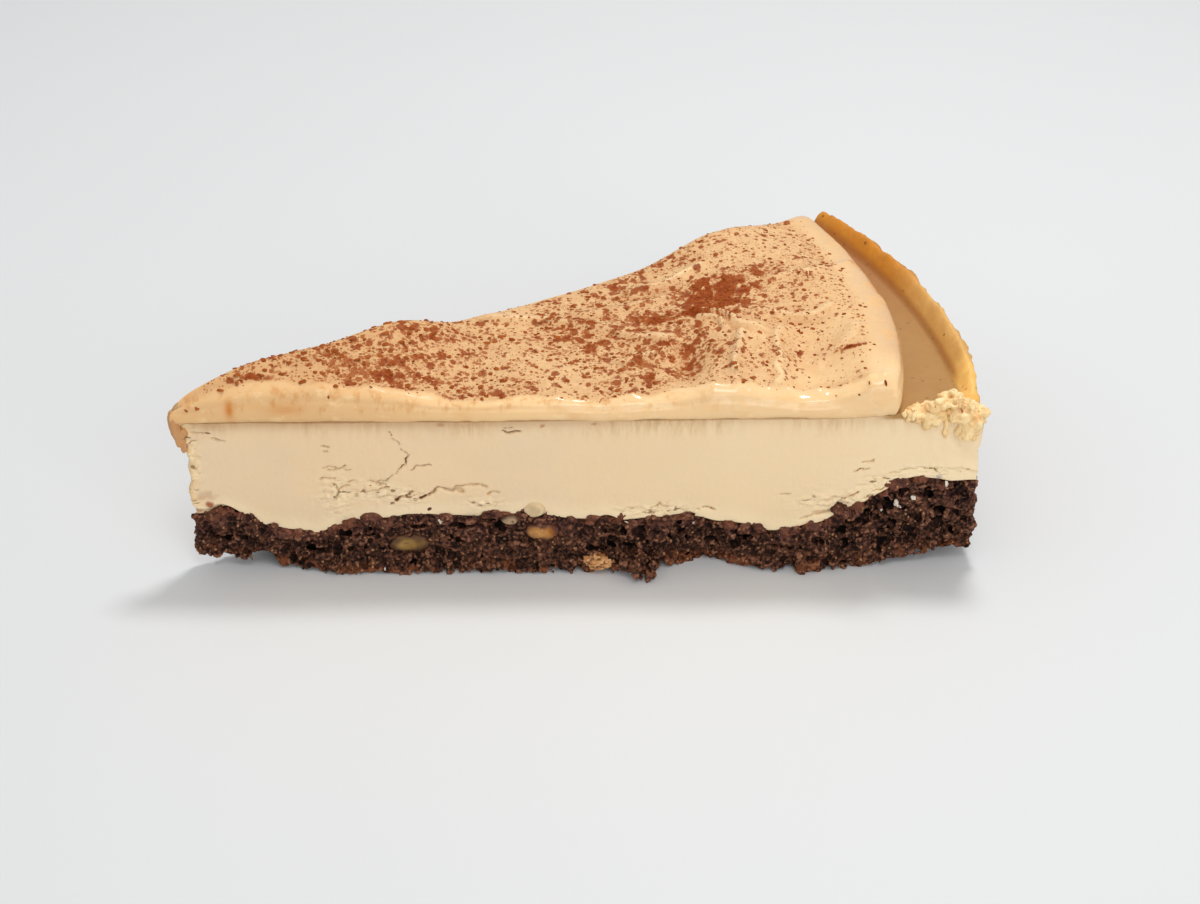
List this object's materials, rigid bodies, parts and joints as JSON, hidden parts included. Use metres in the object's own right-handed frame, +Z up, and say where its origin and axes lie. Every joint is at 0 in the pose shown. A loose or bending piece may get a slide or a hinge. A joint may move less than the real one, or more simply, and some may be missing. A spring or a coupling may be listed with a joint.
{
  "type": "slice of baked coffee cheesecake",
  "caption": "Wedge-shaped slice of baked cheesecake with a crumbly chocolate base, a browned edge and coffee cream dusted with cocoa.",
  "frame": {"origin": "middle of the slice's box, on the surface that it stands on", "axes": "+X from the tip to the rim along the shown cut face, +Y into the slice away from that face, +Z up"},
  "size_m": [0.1328, 0.074, 0.0369],
  "materials": {
    "chocolate_base": "matt and crumbly, dark brown",
    "cheese_filling": "satin, light coffee colour, browned at the rim",
    "coffee_cream": "moist and shiny, dusted with brown cocoa",
    "nut": "satin, yellow brown",
    "toasted_crumb": "matt, orange brown"
  },
  "bodies": {
    "root": {"chocolate_base": "chocolate_base", "cheese_filling": "cheese_filling", "coffee_cream": "coffee_cream", "nut_left": "nut", "nut_middle": "nut", "nut_upper": "nut", "nut_small": "nut", "toasted_crumb": "toasted_crumb"}
  },
  "joints": []
}
